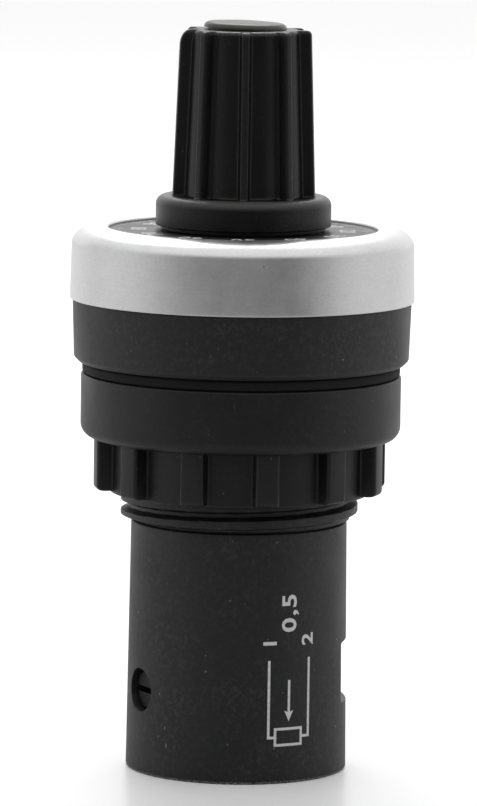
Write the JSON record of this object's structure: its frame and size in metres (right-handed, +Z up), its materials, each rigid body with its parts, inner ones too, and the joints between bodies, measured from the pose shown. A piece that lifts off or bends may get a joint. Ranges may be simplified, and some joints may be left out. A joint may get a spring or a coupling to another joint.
{
  "type": "rotary potentiometer",
  "caption": "Panel-mount rotary potentiometer: fluted knob over a dial in a metal bezel, threaded sleeve with gasket and ribbed nut, round housing with screw terminals.",
  "frame": {"origin": "centre of the housing's foot, on the surface it stands on", "axes": "+Z up along the knob's axis, -Y is the front with the printed symbol, +X is the side with the latch window"},
  "size_m": [0.03, 0.03, 0.0654],
  "materials": {
    "knob_black": "fine satin",
    "cap_grey": "satin",
    "body_black": "fine matt",
    "insert_black": "matt",
    "rotor_cream": "satin",
    "board_brown": "satin",
    "track_carbon": "satin",
    "wire_skin": "smooth",
    "gasket_rubber": "matt",
    "bezel_metal": "satin",
    "dial_metal": "printed",
    "brass": "turned",
    "steel": "zinc plated"
  },
  "bodies": {
    "base": {"barrel": "body_black", "bezel": "bezel_metal", "dial_plate": "dial_metal", "pot_bushing": "brass", "pot_washer": "steel", "pot_nut": "steel", "track_wafer": "board_brown", "resistive_track": "track_carbon", "collector_ring": "steel", "pot_cover": "steel", "pot_tag_1": "steel", "pot_tag_2": "steel", "pot_tag_3": "steel", "lead_1": "wire_skin", "lead_2": "wire_skin", "lead_3": "wire_skin", "terminal_base": "insert_black", "terminal_1": "brass", "terminal_2": "brass", "terminal_3": "brass"},
    "rotor": {"knob": "knob_black", "knob_cap": "cap_grey", "knob_collet": "brass", "collet_nut": "steel", "pot_shaft": "brass", "shaft_clip": "steel", "pot_rotor": "rotor_cream", "wiper_contact": "brass"},
    "gasket": {"panel_gasket": "gasket_rubber"},
    "nut": {"lock_nut": "body_black"},
    "plate_1": {"clamp_plate_1": "steel"},
    "plate_2": {"clamp_plate_2": "steel"},
    "plate_3": {"clamp_plate_3": "steel"},
    "screw_1": {"terminal_screw_1": "steel"},
    "screw_2": {"terminal_screw_2": "steel"},
    "screw_3": {"terminal_screw_3": "steel"}
  },
  "joints": [
    {"name": "knob_turn", "type": "hinge", "parent": "base", "child": "rotor", "pos_m": [0, 0, 0.0476], "axis": [0, 0, 1], "range_deg": [-150, 150]},
    {"name": "gasket_slide", "type": "slide", "parent": "base", "child": "gasket", "axis": [0, 0, -1], "range_m": [0, 0.006]},
    {"name": "nut_turn", "type": "hinge", "parent": "gasket", "child": "nut", "pos_m": [0, 0, 0.03], "axis": [0, 0, -1], "range_deg": [0, 1440]},
    {"name": "plate_slide_1", "type": "slide", "parent": "base", "child": "plate_1", "axis": [0.8829, 0.4695, 0], "range_m": [0, 0.0018]},
    {"name": "screw_turn_1", "type": "hinge", "parent": "plate_1", "child": "screw_1", "pos_m": [-0.006, -0.00319, 0.0073], "axis": [0.8829, 0.4695, 0], "range_deg": [0, 1296]},
    {"name": "plate_slide_2", "type": "slide", "parent": "base", "child": "plate_2", "axis": [0.4695, -0.8829, 0], "range_m": [0, 0.0018]},
    {"name": "screw_turn_2", "type": "hinge", "parent": "plate_2", "child": "screw_2", "pos_m": [-0.00319, 0.006, 0.0073], "axis": [0.4695, -0.8829, 0], "range_deg": [0, 1296]},
    {"name": "plate_slide_3", "type": "slide", "parent": "base", "child": "plate_3", "axis": [-0.8387, -0.5446, 0], "range_m": [0, 0.0018]},
    {"name": "screw_turn_3", "type": "hinge", "parent": "plate_3", "child": "screw_3", "pos_m": [0.0057, 0.0037, 0.0073], "axis": [-0.8387, -0.5446, 0], "range_deg": [0, 1296]}
  ],
  "couplings": [
    {"joint": "gasket_slide", "follows": "nut_turn", "m_per_rad": 0.00023873},
    {"joint": "screw_turn_1", "follows": "plate_slide_1", "rad_per_m": 12566},
    {"joint": "screw_turn_2", "follows": "plate_slide_2", "rad_per_m": 12566},
    {"joint": "screw_turn_3", "follows": "plate_slide_3", "rad_per_m": 12566}
  ]
}
